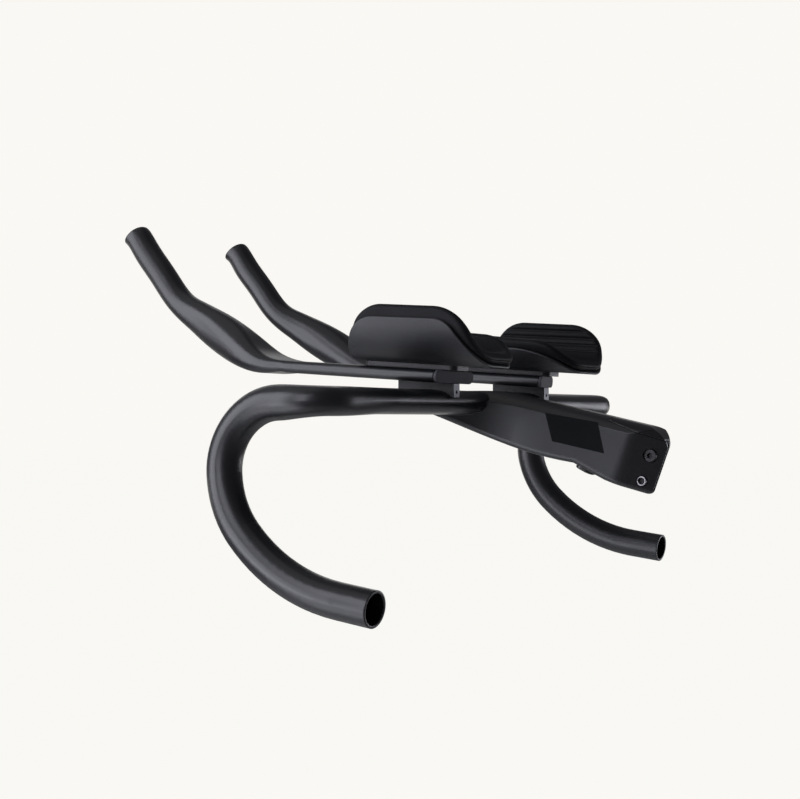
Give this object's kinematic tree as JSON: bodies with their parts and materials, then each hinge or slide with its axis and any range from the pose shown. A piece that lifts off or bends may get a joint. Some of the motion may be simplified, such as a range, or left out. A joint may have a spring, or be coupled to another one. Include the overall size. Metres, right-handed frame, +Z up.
{
  "type": "aero handlebar with extensions and arm rests",
  "caption": "One-piece bicycle drop bar and stem with a wing-shaped top, carrying padded arm rests and upswept extensions for a low riding position.",
  "frame": {"origin": "centre of the steerer clamp, on the steerer's axis", "axes": "+X to the rider's right, +Y forward, +Z up, with the steerer leaning back 20 degrees"},
  "size_m": [0.4952, 0.4584, 0.2906],
  "materials": {
    "carbon": "satin black carbon lay-up under lacquer",
    "cover": "gloss black moulded cover",
    "shell": "satin dark grey moulding",
    "foam": "closed-cell black foam with a smooth skin",
    "cap": "matt dark grey",
    "alloy": "anodised dark grey",
    "black_steel": "blackened",
    "steel": "bright"
  },
  "bodies": {
    "root": {"bar_stem": "carbon", "stem_top_cover": "cover", "pinch_bolt_upper": "black_steel", "pinch_nut_upper": "steel", "pinch_bolt_lower": "black_steel", "pinch_nut_lower": "steel", "cable_port_cover": "cover", "port_cover_screw": "black_steel", "extension_left": "carbon", "extension_cap_left": "cap", "riser_left": "alloy", "riser_screw_left": "black_steel", "arm_cup_left": "shell", "arm_pad_left": "foam", "cup_bolt_rear_left": "black_steel", "cup_bolt_front_left": "black_steel", "bar_insert_rear_left": "steel", "bar_insert_front_left": "steel", "extension_right": "carbon", "extension_cap_right": "cap", "riser_right": "alloy", "riser_screw_right": "black_steel", "arm_cup_right": "shell", "arm_pad_right": "foam", "cup_bolt_rear_right": "black_steel", "cup_bolt_front_right": "black_steel", "bar_insert_rear_right": "steel", "bar_insert_front_right": "steel"}
  },
  "joints": []
}
